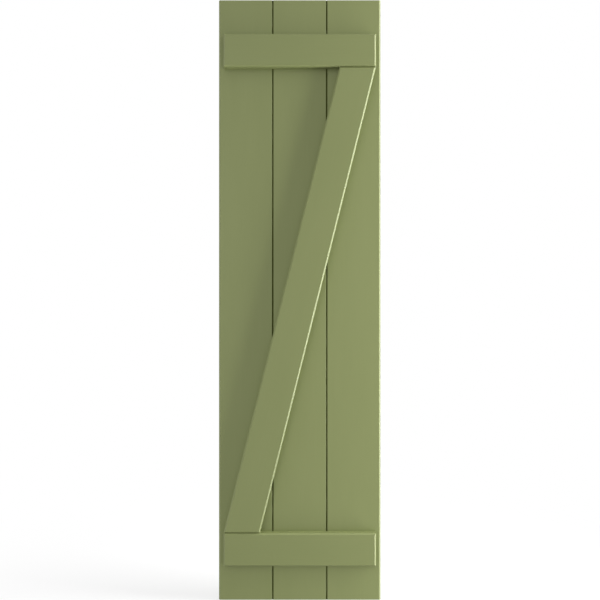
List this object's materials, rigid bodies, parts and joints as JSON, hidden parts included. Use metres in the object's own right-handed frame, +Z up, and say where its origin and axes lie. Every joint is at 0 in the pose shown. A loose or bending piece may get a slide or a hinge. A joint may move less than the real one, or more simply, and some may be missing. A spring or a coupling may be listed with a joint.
{
  "type": "board and batten shutter",
  "caption": "Tall flat window shutter of upright tongue and groove boards, held by level battens and a slanting brace on the front, painted sage green. It frames a window.",
  "frame": {"origin": "middle of the boards' flat back, which lies on the wall", "axes": "+Z up along the boards, -Y out of the front, away from the wall, and +X to the right of someone who looks at the front"},
  "size_m": [0.411, 0.038, 1.524],
  "materials": {
    "paint": "satin",
    "screw_steel": "satin"
  },
  "bodies": {
    "root": {"left_board": "paint", "middle_board": "paint", "right_board": "paint", "top_batten": "paint", "bottom_batten": "paint", "diagonal_brace": "paint", "top_batten_screw_1": "screw_steel", "top_batten_screw_2": "screw_steel", "top_batten_screw_3": "screw_steel", "top_batten_screw_4": "screw_steel", "top_batten_screw_5": "screw_steel", "top_batten_screw_6": "screw_steel", "bottom_batten_screw_1": "screw_steel", "bottom_batten_screw_2": "screw_steel", "bottom_batten_screw_3": "screw_steel", "bottom_batten_screw_4": "screw_steel", "bottom_batten_screw_5": "screw_steel", "bottom_batten_screw_6": "screw_steel", "brace_screw_1": "screw_steel", "brace_screw_2": "screw_steel", "brace_screw_3": "screw_steel", "brace_screw_4": "screw_steel", "brace_screw_5": "screw_steel", "brace_screw_6": "screw_steel", "brace_screw_7": "screw_steel", "brace_screw_8": "screw_steel"}
  },
  "joints": []
}
